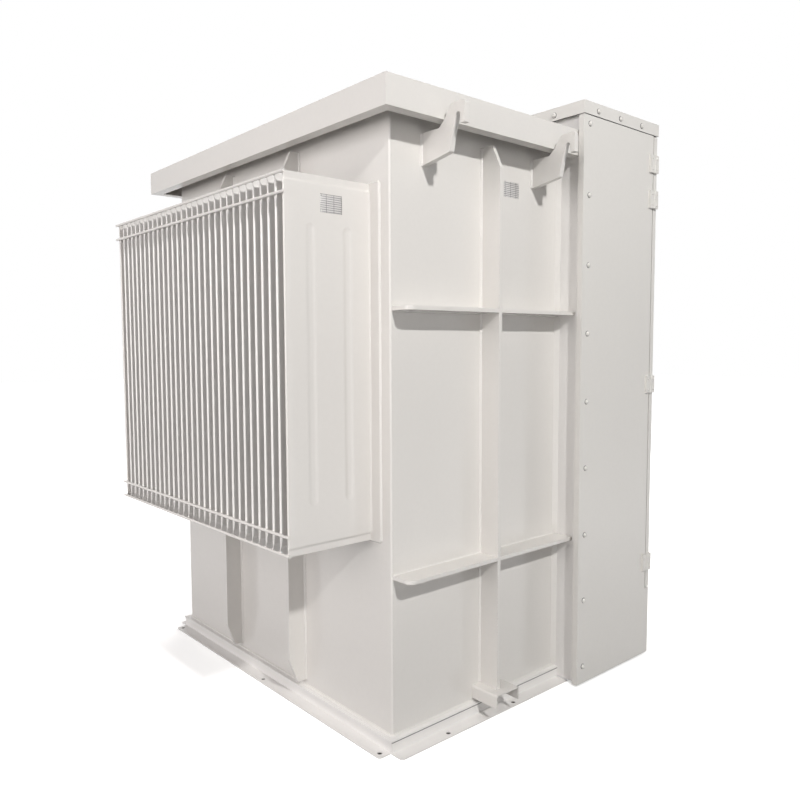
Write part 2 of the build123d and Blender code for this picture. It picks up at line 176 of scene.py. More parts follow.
class Finish:
    """A material under construction, with short names for the nodes that it uses."""

    def __init__(self, name, roughness=None):
        self.material = bpy.data.materials.new(name)
        self.material.use_nodes = True
        self.tree = self.material.node_tree
        self.shader = self.tree.nodes["Principled BSDF"]
        if roughness is not None:
            self.shader.inputs["Roughness"].default_value = roughness
        coordinates = self.tree.nodes.new("ShaderNodeTexCoord")
        self.place = coordinates.outputs["Object"]

    def node(self, kind, links=(), **values):
        made = self.tree.nodes.new(kind)
        for name, value in values.items():
            setattr(made, name, value)
        for socket, source in links:
            self.tree.links.new(source, made.inputs[socket])
        return made

    def grain(self, scale, detail=2.0, rough=0.5, stretch=None):
        place = self.place
        if stretch:
            mapping = self.node("ShaderNodeMapping", [("Vector", place)])
            mapping.inputs["Scale"].default_value = stretch
            place = mapping.outputs["Vector"]
        made = self.node("ShaderNodeTexNoise", [("Vector", place)])
        made.inputs["Scale"].default_value = scale
        made.inputs["Detail"].default_value = detail
        made.inputs["Roughness"].default_value = rough
        return made.outputs["Fac"]

    def height(self):
        return self.node("ShaderNodeSeparateXYZ", [("Vector", self.place)]).outputs["Z"]

    def spread(self, source, low_in, high_in, low_out=0.0, high_out=1.0):
        made = self.node("ShaderNodeMapRange", [("Value", source)], interpolation_type="SMOOTHSTEP")
        for name, value in (("From Min", low_in), ("From Max", high_in),
                            ("To Min", low_out), ("To Max", high_out)):
            made.inputs[name].default_value = value
        return made.outputs["Result"]

    def times(self, first, second):
        return self.node("ShaderNodeMath", [(0, first), (1, second)], operation="MULTIPLY").outputs[0]

    def blend(self, share, first, second):
        made = self.node("ShaderNodeMix", [(0, share)], data_type="RGBA")
        for index, colour in ((6, first), (7, second)):
            if isinstance(colour, (tuple, list)):
                made.inputs[index].default_value = (*colour, 1)
            else:
                self.tree.links.new(colour, made.inputs[index])
        return made.outputs[2]

    def bump(self, source, distance, normal=None):
        links = [("Height", source)] + ([("Normal", normal)] if normal else [])
        made = self.node("ShaderNodeBump", links)
        made.inputs["Distance"].default_value = distance
        made.inputs["Strength"].default_value = 1.0
        return made.outputs["Normal"]

    def soft_edge(self, radius):
        made = self.node("ShaderNodeBevel", samples=4)
        made.inputs["Radius"].default_value = radius
        return made.outputs["Normal"]

    def put(self, socket, source):
        self.tree.links.new(source, self.shader.inputs[socket])


def shade(colour, factor):
    return tuple(min(1.0, c * factor) for c in colour)


def enamel(name, colour, paint, edge=0.0016, dusty=True, waviness=1.0):
    """Sprayed enamel: faint clouds of tone, orange peel, slow waves and some dust near the ground."""
    f = Finish(name)
    cloud = f.grain(1.9, 4.0, 0.55)
    speck = f.grain(64, 3.0, 0.6)
    tone = f.blend(f.spread(cloud, 0.20, 0.80), shade(colour, 0.988), shade(colour, 1.006))
    tone = f.blend(f.spread(speck, 0.25, 0.8, 0.0, 0.35), tone, shade(colour, 0.955))
    if dusty:
        near_ground = f.spread(f.height(), DUST_TOP, 0.0, 0.0, 0.06)
        settled = f.times(near_ground, f.spread(f.grain(7, 5.0, 0.65), 0.3, 0.7))
        tone = f.blend(settled, tone, tuple(paint.dust))
    f.put("Base Color", tone)
    f.put("Roughness", f.spread(cloud, 0.2, 0.8, paint.gloss - 0.02, paint.gloss + 0.03))
    normal = f.soft_edge(edge) if edge else None
    if waviness:
        normal = f.bump(f.grain(1.6, 1.5, 0.45, stretch=(1.0, 1.0, 0.35)), paint.waviness * waviness, normal)
    f.put("Normal", f.bump(f.grain(330, 2.0, 0.5), paint.peel, normal))
    return f.material


def rubber(name, colour):
    """Moulded rubber: matt, with a fine sandy surface and a dusty bloom. It also colours dark strips of
    painted shade.
    """
    f = Finish(name)
    bloom = f.grain(18, 4.0, 0.6)
    f.put("Base Color", f.blend(f.spread(bloom, 0.35, 0.75), tuple(colour), shade(colour, 2.4)))
    f.put("Roughness", f.spread(bloom, 0.3, 0.7, 0.62, 0.80))
    f.put("Normal", f.bump(f.grain(900, 2.0, 0.6), 0.0001))
    return f.material


def label_metal(name, colour, row, columns):
    """Thin printed metal: a brushed plate with ruled rows and nothing written in them."""
    f = Finish(name)
    brushed = f.grain(240, 3.0, 0.6, stretch=(1, 0.05, 1))
    rules = f.node("ShaderNodeTexBrick", offset=0.0, squash=1.0)
    turned = f.node("ShaderNodeCombineXYZ")
    parts = f.node("ShaderNodeSeparateXYZ", [("Vector", f.place)])
    f.tree.links.new(parts.outputs["Y"], turned.inputs["X"])
    f.tree.links.new(parts.outputs["Z"], turned.inputs["Y"])
    f.tree.links.new(turned.outputs["Vector"], rules.inputs["Vector"])
    for socket, value in (("Scale", 1.0), ("Mortar Size", row * 0.13), ("Mortar Smooth", 0.1),
                          ("Brick Width", columns), ("Row Height", row)):
        rules.inputs[socket].default_value = value
    plate = f.blend(f.spread(brushed, 0.3, 0.7), shade(colour, 0.86), tuple(colour))
    f.put("Base Color", f.blend(rules.outputs["Fac"], plate, (0.16, 0.155, 0.155)))
    f.put("Roughness", f.spread(brushed, 0.3, 0.7, 0.34, 0.48))
    f.shader.inputs["Metallic"].default_value = 0.35
    f.put("Normal", f.bump(brushed, 0.00003))
    return f.material


def plated_steel(name, colour):
    """Zinc-plated steel with the soft cloudy spangle of the plating."""
    f = Finish(name)
    spangle = f.grain(120, 4.0, 0.65)
    f.put("Base Color", f.blend(f.spread(spangle, 0.3, 0.7), shade(colour, 0.72), tuple(colour)))
    f.put("Roughness", f.spread(spangle, 0.3, 0.7, 0.26, 0.44))
    f.shader.inputs["Metallic"].default_value = 1.0
    f.put("Normal", f.bump(f.grain(700, 2.0, 0.5), 0.00004, f.soft_edge(0.0008)))
    return f.material


def hole_shade(name):
    """Painted shade at the bottom of an anchor hole under the rail: a near-black, grainy disc."""
    f = Finish(name, 0.85)
    shade_fill = f.grain(420, 4.0, 0.7)
    # Near-black colours: painted shade in the hole
    f.put("Base Color", f.blend(f.spread(shade_fill, 0.3, 0.7), (0.020, 0.018, 0.016), (0.060, 0.054, 0.048)))
    f.put("Normal", f.bump(shade_fill, 0.0006))
    return f.material


FINISHES = {}


def finish(name):
    """A finish of this object by name, made on first use."""
    paint = bpy.context.scene.transformer_paint
    makers = {
        "tank enamel": lambda: enamel(name, tuple(paint.tank), paint),
        "weld enamel": lambda: enamel(name, shade(paint.tank, 1.01), paint, edge=0, waviness=0),
        "fin enamel": lambda: enamel(name, tuple(paint.fins), paint, edge=0, dusty=False, waviness=0.3),
        # A lighter copy of the enamel: painted light on shaded surfaces
        "fresh enamel": lambda: enamel(name, tuple(paint.painted_light), paint, edge=0, dusty=False, waviness=0),
        "cabinet enamel": lambda: enamel(name, tuple(paint.cabinet), paint, edge=0.0013, waviness=1.4),
        "fitting enamel": lambda: enamel(name, tuple(paint.cabinet), paint, edge=0.0008, dusty=False,
                                         waviness=0),
        # Dark rubber for the door gaskets and washers, also used as painted shade for dark strips in the
        # joints
        "rubber and painted shade": lambda: rubber(name, tuple(paint.rubber)),
        "label metal": lambda: label_metal(name, tuple(paint.metal),
                                           bpy.context.scene.transformer_labels.row, 0.031),
        "plated steel": lambda: plated_steel(name, (0.66, 0.65, 0.63)),
        "hole shade": lambda: hole_shade(name),
    }
    if name not in FINISHES:
        FINISHES[name] = makers[name]()
    return FINISHES[name]


def dress(node, name):
    """Give a node of the frame its finish."""
    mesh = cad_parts[node].data
    mesh.materials.clear()
    mesh.materials.append(finish(name))


# ---------------------------------------------------------------- mesh helpers

def piece(name, mesh, body, finish_name):
    """Turn a finished bmesh into a piece that rides on a body."""
    bmesh.ops.recalc_face_normals(mesh, faces=mesh.faces)
    data = bpy.data.meshes.new(name)
    mesh.to_mesh(data)
    mesh.free()
    for polygon in data.polygons:
        polygon.use_smooth = True
    data.materials.append(finish(finish_name))
    made = bpy.data.objects.new(name, data)
    bpy.context.scene.collection.objects.link(made)
    data.set_sharp_from_angle(angle=math.radians(38))
    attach(made, body)
    return made


def join_rings(mesh, rings):
    """Skin a row of rings with quads and close both ends."""
    count = len(rings[0])
    for before, after in zip(rings, rings[1:]):
        for i in range(count):
            j = (i + 1) % count
            mesh.faces.new((before[i], before[j], after[j], after[i]))
    mesh.faces.new(list(reversed(rings[0])))
    mesh.faces.new(rings[-1])


def circle(facets):
    """The angles of a round form's facets."""
    return [2 * math.pi * i / facets for i in range(facets)]


def turned(mesh, profile, place, axis, facets):
    """A turned form: (radius, distance along the axis) points from the base to the tip."""
    turn = axis.to_track_quat("Z", "Y")
    rings = []
    for radius, out in profile:
        ring = [Vector((radius * math.cos(a), radius * math.sin(a), out)) for a in circle(facets)]
        rings.append([mesh.verts.new(Vector(place) + turn @ point) for point in ring])
    join_rings(mesh, rings)


def dome_screw(mesh, place, axis, diameter, facets):
    """A dome head on a thin collar, with a shallow drive recess."""
    r = diameter / 2
    profile = [(r * 1.15, -ROOT), (r * 1.15, r * 0.12), (r * 1.00, r * 0.18), (r * 0.99, r * 0.42),
               (r * 0.90, r * 0.66), (r * 0.70, r * 0.84), (r * 0.44, r * 0.94), (r * 0.34, r * 0.95),
               (r * 0.30, r * 0.74), (r * 0.10, r * 0.72)]
    turned(mesh, profile, place, axis, facets)


def fillet_weld(mesh, start, end, along_a, along_b, leg, pitch, section=BEAD, ripple=0.10):
    """A fillet weld in the corner of two plates that leave it along_a and along_b.

    Each ripple takes three rings. The leg swells with the ripple and wanders a little, and both ends taper.
    """
    start, end = Vector(start), Vector(end)
    length = (end - start).length
    count = max(4, round(length / (pitch / 3)))
    rings = []
    for i in range(count + 1):
        here = start.lerp(end, i / count)
        wander = noise.noise(here * 23.0) * 0.16 + noise.noise(here * 71.0) * 0.10
        swell = 1 + ripple * (math.cos(2 * math.pi * i / 3) + 5 * wander)
        if i in (0, count):
            swell *= 0.55
        rings.append([mesh.verts.new(here + along_a * leg * swell * a + along_b * leg * swell * b)
                      for a, b in section])
    join_rings(mesh, rings)


def bar(mesh, low_corner, high_corner, round_by):
    """A rectangular bar with its edges rounded."""
    part = bmesh.new()
    bmesh.ops.create_cube(part, size=1)
    size = Vector(high_corner) - Vector(low_corner)
    middle = (Vector(high_corner) + Vector(low_corner)) / 2
    for v in part.verts:
        v.co = Vector(c * s for c, s in zip(v.co, size)) + middle
    bmesh.ops.bevel(part, geom=part.edges[:], offset=round_by, segments=3, profile=0.5, affect="EDGES")
    copy_into(mesh, part)


def copy_into(mesh, part):
    """Add one bmesh to another and free it."""
    places = {v: mesh.verts.new(v.co) for v in part.verts}
    for face in part.faces:
        mesh.faces.new([places[v] for v in face.verts])
    part.free()


# ---------------------------------------------------------------- operators

class TRANSFORMER_OT_enamel(Operator):
    """Paint the nodes of the frame"""
    bl_idname = "transformer.enamel"
    bl_label = "Enamel"

    def execute(self, context):
        cabinet = ("cabinet_", "door_left", "door_right")
        # Nodes that get the lighter copy of the enamel, painted light for their shaded surfaces
        painted_light = ("inner_fins", "cabinet_back", "base_rail", "tank_floor")
        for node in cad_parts:
            if "hinges" in node:
                dress(node, "fitting enamel")
            elif node == "door_handle":
                dress(node, "plated steel")
            elif node.startswith(painted_light):
                dress(node, "fresh enamel")
            elif node.startswith(cabinet):
                dress(node, "cabinet enamel")
            elif "fin" in node or "rods" in node:
                dress(node, "fin enamel")
            else:
                dress(node, "tank enamel")
        return {"FINISHED"}


class TRANSFORMER_OT_wall_welds(Operator):
    """Weld the stiffeners, shelves, hooks and fin plate to the tank"""
    bl_idname = "transformer.wall_welds"
    bl_label = "Wall Welds"

    shelf_gap = 0.004
    shelf_leg = 0.8

    def execute(self, context):
        weld = context.scene.transformer_welds
        leg, pitch = weld.leg, weld.pitch
        rear = bmesh.new()
        plate_low, plate_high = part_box("fin_backing_plate")
        for x, out in ((plate_low.x, OUTWARD[-1]), (plate_high.x, OUTWARD[1])):
            fillet_weld(rear, (x, REAR_Y, plate_low.z), (x, REAR_Y, plate_high.z), out, REAR, leg, pitch)
        for z, out in ((plate_low.z, DOWN), (plate_high.z, UP)):
            fillet_weld(rear, (plate_low.x, REAR_Y, z), (plate_high.x, REAR_Y, z), out, REAR, leg, pitch)
        for node in ("rear_stiffeners_lower", "rear_stiffeners_upper"):
            foot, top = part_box(node)
            for x, out in ((foot.x, OUTWARD[-1]), (foot.x + STIFFENER_PLATE, OUTWARD[1]),
                           (top.x - STIFFENER_PLATE, OUTWARD[-1]), (top.x, OUTWARD[1])):
                fillet_weld(rear, (x, REAR_Y, foot.z), (x, REAR_Y, top.z), out, REAR, leg, pitch)
        fillet_weld(rear, (-WALL_X, REAR_Y, LEDGE_Z), (WALL_X, REAR_Y, LEDGE_Z), REAR, UP, leg, pitch)
        piece("rear_wall_welds", rear, UNIT, "weld enamel")

        for side_name, side in SIDES:
            out, wall = OUTWARD[side], side * WALL_X
            seams = bmesh.new()
            foot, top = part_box(f"side_stiffener_{side_name}")
            for y, away in ((foot.y, FRONT), (top.y, REAR)):
                fillet_weld(seams, (wall, y, foot.z), (wall, y, top.z), out, away, leg, pitch)
            shelf_low, shelf_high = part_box(f"side_shelves_{side_name}")
            gap = self.shelf_gap
            runs = ((top.y + gap, shelf_high.y - gap), (shelf_low.y, foot.y - gap))
            for z, away in ((shelf_low.z, DOWN), (shelf_low.z + SHELF_PLATE, UP),
                            (shelf_high.z - SHELF_PLATE, DOWN), (shelf_high.z, UP)):
                for first, last in runs:
                    fillet_weld(seams, (wall, first, z), (wall, last, z), out, away,
                                leg * self.shelf_leg, pitch)
            for place in ("rear", "front"):
                hook_low, hook_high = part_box(f"lifting_hook_{side_name}_{place}")
                for y, away in ((hook_low.y, FRONT), (hook_high.y, REAR)):
                    fillet_weld(seams, (wall, y, hook_low.z), (wall, y, HOOK_SHOULDER_Z), out, away,
                                leg, pitch)
            fillet_weld(seams, (wall, CABINET_BACK_Y, LEDGE_Z), (wall, REAR_Y, LEDGE_Z), out, UP,
                        leg, pitch)
            piece(f"side_wall_welds_{side_name}", seams, UNIT, "weld enamel")
        return {"FINISHED"}


class TRANSFORMER_OT_end_fins(Operator):
    """Press the two outer cooling fins with soft flutes"""
    bl_idname = "transformer.end_fins"
    bl_label = "End Fins"

    flute_width = 0.040
    flute_depth = 0.0034
    flute_spacing = 0.151
    flute_gap = 0.154
    seam_height = 0.020
    taper = 0.010
    seam = 0.003
    weld_start = 0.03
    end_steps = (0, 0.010, 0.019, 0.0205, 0.0225, 0.025, 0.0275, 0.0295, 0.032, 0.06, 0.10, 0.14)
    flute_end_steps = 17
    flute_end_step = 0.003
    long_start = 0.06
    long_step = 0.030

    def half_width(self, y, z, foot, top, plate):
        """Half the fin's width at a place on its face: pinched at the ends, pressed in at the flutes."""
        reach = min(z - foot, top - z)
        share = min(1.0, max(0.0, (reach - self.seam_height) / self.taper))
        width = self.seam + (plate - self.seam) * share * share * (3 - 2 * share)
        half = self.flute_width / 2
        low_end, high_end = foot + self.flute_gap + half, top - self.flute_gap - half
        for flute in (-1, 1):
            middle = self.flute_middle + flute * self.flute_spacing / 2
            past = z - min(max(z, low_end), high_end)
            away = math.hypot(y - middle, past) / half
            if away < 1:
                width -= 2 * self.flute_depth * (1 - away ** 2.4) ** 1.6
        return width / 2

    def levels(self, foot, top):
        """Heights of the rings: close together at the seams and at the round ends of the flutes."""
        gaps = list(self.end_steps)
        gaps += [self.flute_gap + step * self.flute_end_step for step in range(self.flute_end_steps)]
        levels = {round(z, 5) for gap in gaps for z in (foot + gap, top - gap)}
        z = foot + self.flute_gap + self.long_start
        while z < top - self.flute_gap - self.long_start:
            levels.add(round(z, 5))
            z += self.long_step
        return sorted(levels)

    def places_across(self, root, tip):
        """Places along one ring: close together over both flutes."""
        middle = self.flute_middle
        across = [root, root + 0.04, middle - 0.02, middle + 0.02, tip - 0.04]
        for flute in (-1, 1):
            centre = middle + flute * self.flute_spacing / 2
            across += [centre + self.flute_width / 2 * s / 8 for s in range(-9, 10)]
        return [y for y in sorted(across) if root <= y < tip - 0.006]

    def execute(self, context):
        weld = context.scene.transformer_welds
        for side_name, side in SIDES:
            node = f"end_fin_{side_name}"
            foot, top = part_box(node)
            plate = top.x - foot.x
            middle_x = (top.x + foot.x) / 2
            self.flute_middle = (REAR_Y + top.y) / 2
            across = self.places_across(foot.y, top.y)
            mesh = bmesh.new()
            rings = []
            for z in self.levels(foot.z, top.z):
                edge = self.half_width(top.y - 0.02, z, foot.z, top.z, plate)
                ring = [(middle_x - self.half_width(y, z, foot.z, top.z, plate), y) for y in across]
                for i in range(9):
                    a = math.pi * i / 8
                    ring.append((middle_x - edge * math.cos(a), top.y - edge + edge * math.sin(a)))
                ring += [(middle_x + self.half_width(y, z, foot.z, top.z, plate), y)
                         for y in reversed(across)]
                rings.append([mesh.verts.new((x, y, z)) for x, y in ring])
            join_rings(mesh, rings)
            fin = piece(f"pressed_end_fin_{side_name}", mesh, UNIT, "fin enamel")
            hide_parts(node)
            seams = bmesh.new()
            outer = foot.x if side < 0 else top.x
            first, last = foot.z + self.weld_start, top.z - self.weld_start
            fillet_weld(seams, (outer, foot.y, first), (outer, foot.y, last),
                        OUTWARD[side], REAR, weld.thin_leg, weld.pitch)
            piece(f"end_fin_weld_{side_name}", seams, UNIT, "fin enamel")
        return {"FINISHED"}


class TRANSFORMER_OT_rod_welds(Operator):
    """Tack the tie rods to every fin"""
    bl_idname = "transformer.rod_welds"
    bl_label = "Rod Welds"

    lump = (1.05, 0.75, 0.80)

    def execute(self, context):
        leg = context.scene.transformer_welds.thin_leg
        fins_low, fins_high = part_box("end_fin_left")[0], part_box("end_fin_right")[1]
        plate = high("end_fin_left").x - fins_low.x
        first = fins_low.x + plate / 2
        pitch = (fins_high.x - fins_low.x - plate) / (FIN_COUNT - 1)
        tacks = bmesh.new()
        for node in ("tie_rods_upper", "tie_rods_lower"):
            rods_low, rods_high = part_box(node)
            radius = (rods_high.y - rods_low.y) / 2
            for rod_z in (rods_low.z + radius, rods_high.z - radius):
                for i in range(FIN_COUNT):
                    x = first + i * pitch
                    for above in (-1, 1):
                        wobble = 1 + 0.25 * noise.noise(Vector((x * 40, rod_z * 30, above)))
                        centre = Vector((x, rods_low.y + 0.001, rod_z + above * radius * 0.72))
                        self.tack(tacks, centre, leg * wobble)
        piece("rod_tack_welds", tacks, UNIT, "fin enamel")
        return {"FINISHED"}

    def tack(self, mesh, centre, size):
        """A small flattened lump of weld."""
        part = bmesh.new()
        bmesh.ops.create_icosphere(part, subdivisions=2, radius=1)
        for v in part.verts:
            v.co = centre + Vector(c * size * share for c, share in zip(v.co, self.lump))
        copy_into(mesh, part)


class TRANSFORMER_OT_cabinet_screws(Operator):
    """Screw the cabinet together and its hinges on"""
    bl_idname = "transformer.cabinet_screws"
    bl_label = "Cabinet Screws"

    panel_heights = (0.081, 0.363, 0.640, 0.918, 1.191, 1.467, 1.741, 2.018, 2.296)
    lip_places = (-0.4315, -0.5885, -0.7495)
    lip_spread = (-0.777, -0.259, 0.259, 0.777)
    panel_inset = 0.040
    lip_inset = 0.029
    washer_thickness = 0.0012
    washer_edge = 0.0005
    front_scale = 0.8
    hinge_step = 0.023
    hinge_facets = 14

    def execute(self, context):
        fasteners = context.scene.transformer_fasteners
        head, facets = fasteners.head, fasteners.facets
        roof_low, roof_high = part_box("cabinet_roof")
        lip_z = roof_high.z - self.lip_inset
        panel_y = PANEL_REAR_Y - self.panel_inset
        places = []
        for side in (-1, 1):
            places += [((side * PANEL_X, panel_y, z), OUTWARD[side], 1) for z in self.panel_heights]
            places += [((side * roof_high.x, y, lip_z), OUTWARD[side], 1) for y in self.lip_places]
        for x in self.lip_spread:
            places += [((x, roof_high.y, lip_z), REAR, 1), ((x, roof_low.y, lip_z), FRONT, self.front_scale)]
        # Dark rubber washers, wider than the heads: real washers that also paint the shadow ring under each
        # head
        heads, washer_shade_rings = bmesh.new(), bmesh.new()
        thickness, edge = self.washer_thickness, self.washer_edge
        for place, out, scale in places:
            rim = fasteners.washer / 2 * scale
            turned(washer_shade_rings, [(rim, -ROOT), (rim, thickness - edge), (rim - edge, thickness)],
                   place, out, facets)
            dome_screw(heads, Vector(place) + out * (thickness - 0.0001), out, head * scale, facets)
        piece("cabinet_screw_heads", heads, UNIT, "fitting enamel")
        piece("cabinet_screw_washer_shade_rings", washer_shade_rings, UNIT, "rubber and painted shade")

        for side_name, side in SIDES:
            for owner, body in (("cabinet", UNIT), ("door", DOORS[side])):
                node_low, node_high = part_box(f"{owner}_hinges_{side_name}")
                y = node_high.y - 0.013 if owner == "cabinet" else node_low.y + 0.010
                leaf_x = side * (PANEL_X + HINGE_LEAF)
                screws = bmesh.new()
                for z in HINGE_HEIGHTS:
                    for step in (-self.hinge_step, self.hinge_step):
                        dome_screw(screws, (leaf_x, y, z + step), OUTWARD[side], fasteners.hinge_head,
                                   self.hinge_facets)
                piece(f"{owner}_hinge_screws_{side_name}", screws, body, "fitting enamel")
        return {"FINISHED"}


class TRANSFORMER_OT_seals(Operator):
    """Caulk the cabinet's back, put dark strips of painted shade in the joints between tank, cabinet and
    roof, and line the doors with gaskets
    """
    bl_idname = "transformer.seals"
    bl_label = "Seals"

    caulk_leg = 0.017
    caulk_pitch = 0.06
    caulk_ripple = 0.03
    caulk_gap = 0.001
    # Height of the dark strip of painted shade under the edge of the floor plate
    seam_height = 0.0024
    gasket_inset = 0.012
    gasket_width = 0.012
    gasket_height = 0.016

    def execute(self, context):
        cap_low, cap_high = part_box("tank_cap")
        self.caulk_the_cabinet(cap_low)
        self.shade_the_joints(cap_low, cap_high)
        for side_name, side in SIDES:
            self.gasket(side_name, side)
        return {"FINISHED"}

    def caulk_the_cabinet(self, cap_low):
        """A bead between each side wall and the back of the cabinet, between the shelves."""
        shelf_low, shelf_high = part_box("side_shelves_left")
        for side_name, side in SIDES:
            strip = bmesh.new()
            for foot, top in ((LEDGE_Z, shelf_low.z),
                              (shelf_low.z + SHELF_PLATE, shelf_high.z - SHELF_PLATE),
                              (shelf_high.z, cap_low.z)):
                fillet_weld(strip, (side * WALL_X, CABINET_BACK_Y, foot + self.caulk_gap),
                            (side * WALL_X, CABINET_BACK_Y, top - self.caulk_gap),
                            REAR, OUTWARD[side], self.caulk_leg, self.caulk_pitch, CAULK, self.caulk_ripple)
            piece(f"cabinet_caulk_{side_name}", strip, UNIT, "weld enamel")

    def shade_the_joints(self, cap_low, cap_high):
        """Dark strips of painted shade in the shadowed gaps under the roof's lip, beside the cap and under
        the edge of the floor plate.
        """
        joints = bmesh.new()
        roof_low, roof_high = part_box("cabinet_roof")
        lip_z = roof_high.z - ROOF_LIP
        # Painted shade: a dark strip under each side lip of the roof, and one in the slit beside the cap
        for side in (-1, 1):
            near, far = sorted((side * (PANEL_X - 0.0005), side * (PANEL_X + 0.0018)))
            bar(joints, (near, roof_low.y + 0.036, lip_z - 0.0016), (far, PANEL_REAR_Y, lip_z + 0.0005),
                0.0004)
            near, far = sorted((side * (cap_high.x + 0.0003), side * (PANEL_X - 0.0252)))
            bar(joints, (near, CABINET_BACK_Y + 0.001, cap_low.z), (far, CABINET_BACK_Y + 0.009, cap_high.z),
                0.0004)
        # Painted shade under the roof's rear lip
        bar(joints, (-PANEL_X, PANEL_REAR_Y - 0.003, lip_z - 0.0014),
            (PANEL_X, PANEL_REAR_Y + 0.0016, lip_z + 0.0005), 0.0004)
        # Painted shade under the edge of the floor plate
        shade_strip_low = LEDGE_Z - FLOOR_PLATE
        shade_strip_high = shade_strip_low + self.seam_height
        floor_low, floor_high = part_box("tank_floor")
        for near, far in ((floor_low.x - 0.0006, floor_low.x + 0.001),
                          (floor_high.x - 0.001, floor_high.x + 0.0006)):
            bar(joints, (near, CABINET_BACK_Y + 0.002, shade_strip_low), (far, floor_high.y, shade_strip_high), 0.0003)
        piece("joint_shade_strips", joints, UNIT, "rubber and painted shade")

    def gasket(self, side_name, side):
        """A rubber frame on the inside of a door: rows below and above, posts between them."""
        door_low, door_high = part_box(f"door_{side_name}")
        left, right = door_low.x + self.gasket_inset, door_high.x - self.gasket_inset
        foot, top = door_low.z + self.gasket_inset, door_high.z - self.gasket_inset
        w, skin_y = self.gasket_width, DOOR_FACE_Y + DOOR_SHEET
        mesh = bmesh.new()
        for low_x, high_x, low_z, high_z in ((left, right, foot, foot + w), (left, right, top - w, top),
                                             (left, left + w, foot + w, top - w),
                                             (right - w, right, foot + w, top - w)):
            bar(mesh, (low_x, skin_y - 0.0002, low_z), (high_x, skin_y + self.gasket_height, high_z), 0.003)
        piece(f"door_gasket_{side_name}", mesh, DOORS[side], "rubber and painted shade")


class TRANSFORMER_OT_door_stops(Operator):
    """Fold the stops that close the gap behind the doors"""
    bl_idname = "transformer.door_stops"
    bl_label = "Door Stops"

    inset = 0.0085
    sheet = 0.003
    reach = 0.013

    def execute(self, context):
        jamb_y = low("cabinet_side_left").y
        foot, top = low("door_left").z + 0.010, high("cabinet_header").z - 0.045
        stops = bmesh.new()
        for side in (-1, 1):
            outer = PANEL_X - self.inset
            near, far = sorted((side * (outer - self.sheet), side * outer))
            bar(stops, (near, jamb_y - self.reach, foot), (far, jamb_y + 0.0003, top), 0.0006)
        piece("door_stop_folds", stops, UNIT, "cabinet enamel")
        return {"FINISHED"}


class TRANSFORMER_OT_labels(Operator):
    """Rivet the blank label plates on"""
    bl_idname = "transformer.labels"
    bl_label = "Blank Labels"

    # (Y, Z) of the middle of each label
    fin_place = (0.7240, 1.889)
    wall_place = (-0.0680, 2.020)
    rivet_inset = 0.005
    rivet = ((0.0024, -ROOT), (0.0024, 0.0003), (0.0019, 0.0010), (0.0010, 0.0014), (0.0003, 0.0015))

    def execute(self, context):
        label = context.scene.transformer_labels
        half_width, half_height = label.width / 2, label.height / 2
        across, up = half_width - self.rivet_inset, half_height - self.rivet_inset
        for name, x, (y, z) in (("fin", low("end_fin_left").x, self.fin_place),
                                ("wall", -WALL_X, self.wall_place)):
            mesh = bmesh.new()
            bar(mesh, (x - label.thickness, y - half_width, z - half_height),
                (x + 0.0004, y + half_width, z + half_height), 0.0005)
            piece(f"blank_label_{name}", mesh, UNIT, "label metal")
            rivets = bmesh.new()
            for step_y in (-across, across):
                for step_z in (-up, up):
                    turned(rivets, self.rivet, (x - label.thickness, y + step_y, z + step_z), OUTWARD[-1], 12)
            piece(f"label_rivets_{name}", rivets, UNIT, "plated steel")
        return {"FINISHED"}


class TRANSFORMER_OT_anchor_holes(Operator):
    """Put discs of painted shade where the ground shows through the anchor holes"""
    bl_idname = "transformer.anchor_holes"
    bl_label = "Anchor Holes"

    inset = 0.023
    rear_places = (-0.772, 0, 0.772)
    side_places = (0.227, 0.592)
    # Profile of the dark disc of painted shade
    shade_fill = ((0.0088, 0.0001), (0.0088, 0.0016), (0.0075, 0.0011), (0.0030, 0.0014))

    def execute(self, context):
        rear_y = high("base_rail_rear").y - self.inset
        side_x = high("base_rail_right").x - self.inset
        shade_discs = bmesh.new()
        places = [(x, rear_y) for x in self.rear_places]
        places += [(side * side_x, REAR_Y - y) for side in (-1, 1) for y in self.side_places]
        for x, y in places:
            turned(shade_discs, self.shade_fill, (x, y, 0), UP, 20)
        piece("anchor_hole_shade_discs", shade_discs, UNIT, "hole shade")
        return {"FINISHED"}


